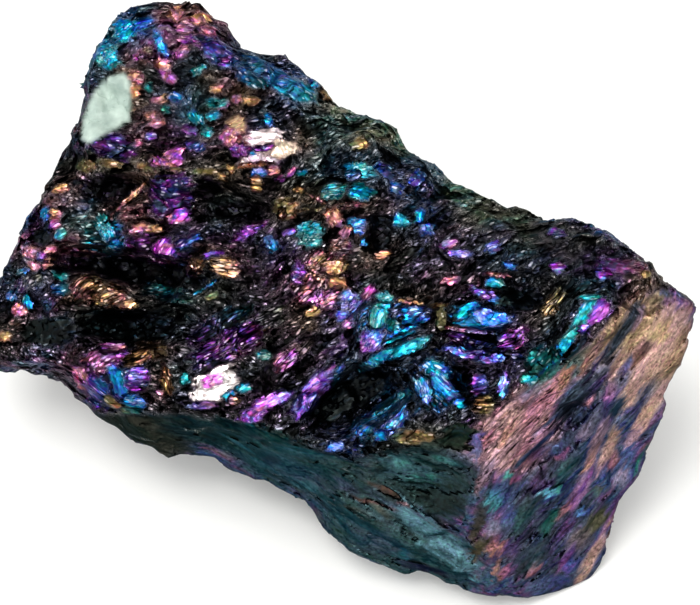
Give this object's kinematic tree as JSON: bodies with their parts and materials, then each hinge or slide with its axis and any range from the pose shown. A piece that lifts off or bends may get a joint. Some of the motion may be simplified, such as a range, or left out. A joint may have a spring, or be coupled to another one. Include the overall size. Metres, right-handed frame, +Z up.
{
  "type": "peacock ore specimen",
  "caption": "Loose lump of iridescent peacock ore with a ledged, pitted best side and two cleaner broken faces, lying on a flat fracture face.",
  "frame": {"origin": "the middle of the stone's bounding box, at the level of the flat fracture face that it rests on", "axes": "+Z up; +X along the stone's length towards its broken end face; the ledged best side looks up and towards -Y"},
  "size_m": [0.0292, 0.0234, 0.0132],
  "materials": {
    "tarnished_bornite": "metallic sulphide fracture with an iridescent tarnish in violet, blue, teal, magenta and gold, and one small pale patch of gangue"
  },
  "bodies": {
    "root": {"bornite_stone": "tarnished_bornite"}
  },
  "joints": []
}
